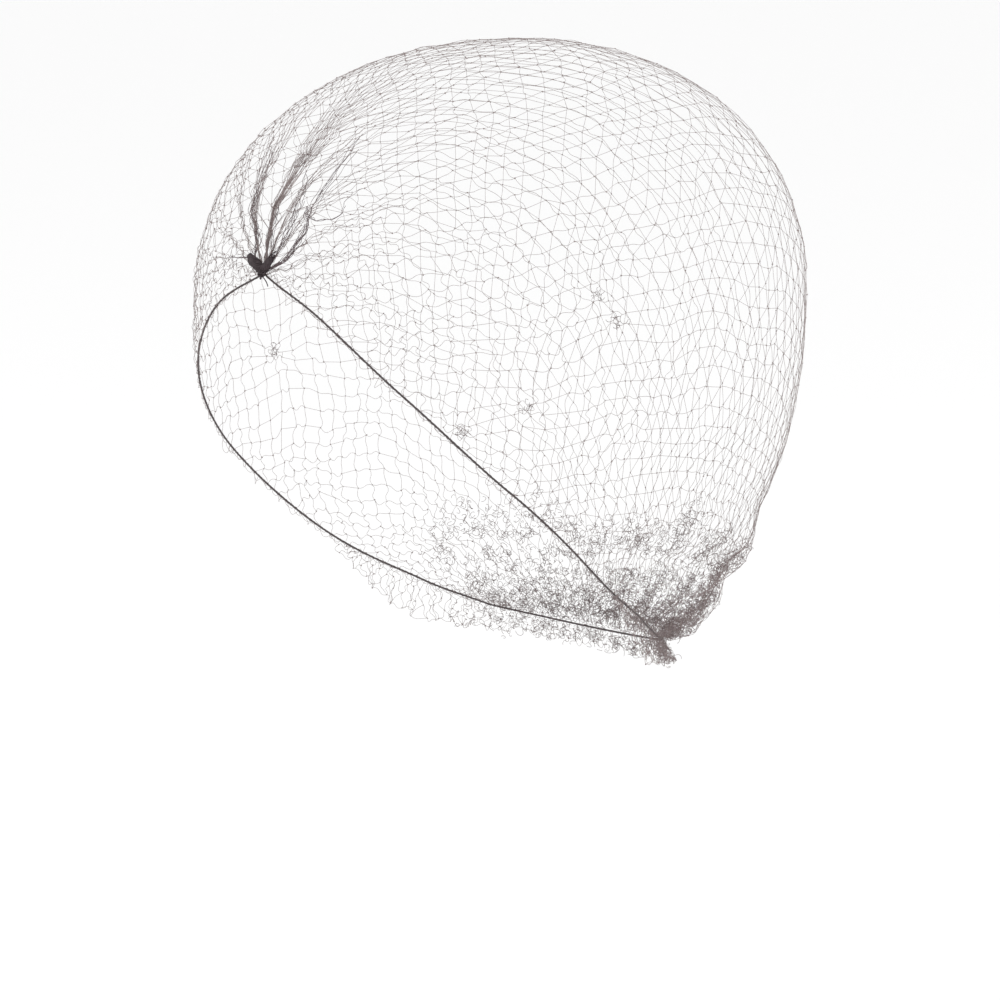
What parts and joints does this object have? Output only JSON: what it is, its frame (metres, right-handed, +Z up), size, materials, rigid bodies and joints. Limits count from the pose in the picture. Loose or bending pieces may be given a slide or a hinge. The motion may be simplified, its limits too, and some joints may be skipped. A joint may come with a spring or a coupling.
{
  "type": "hairnet",
  "caption": "Open-mesh hairnet in its worn form: a knotted net gathered to a tie at the forehead and ruffled at the nape, edged with a thin elastic loop.",
  "frame": {"origin": "inside of the crown's top, where the net sits on the head", "axes": "+Z up, -Y towards the forehead, +X towards the wearer's left"},
  "size_m": [0.154, 0.1985, 0.1948],
  "materials": {
    "net_thread": "fine brown knotted thread, matt",
    "elastic": "thin covered elastic, dark brown",
    "gathered_tie": "tightly bunched thread, brown-black"
  },
  "bodies": {
    "root": {"net_crown": "net_thread", "nape_frill": "net_thread", "edge_elastic": "elastic", "front_gather": "gathered_tie", "front_knot": "gathered_tie"}
  },
  "joints": []
}
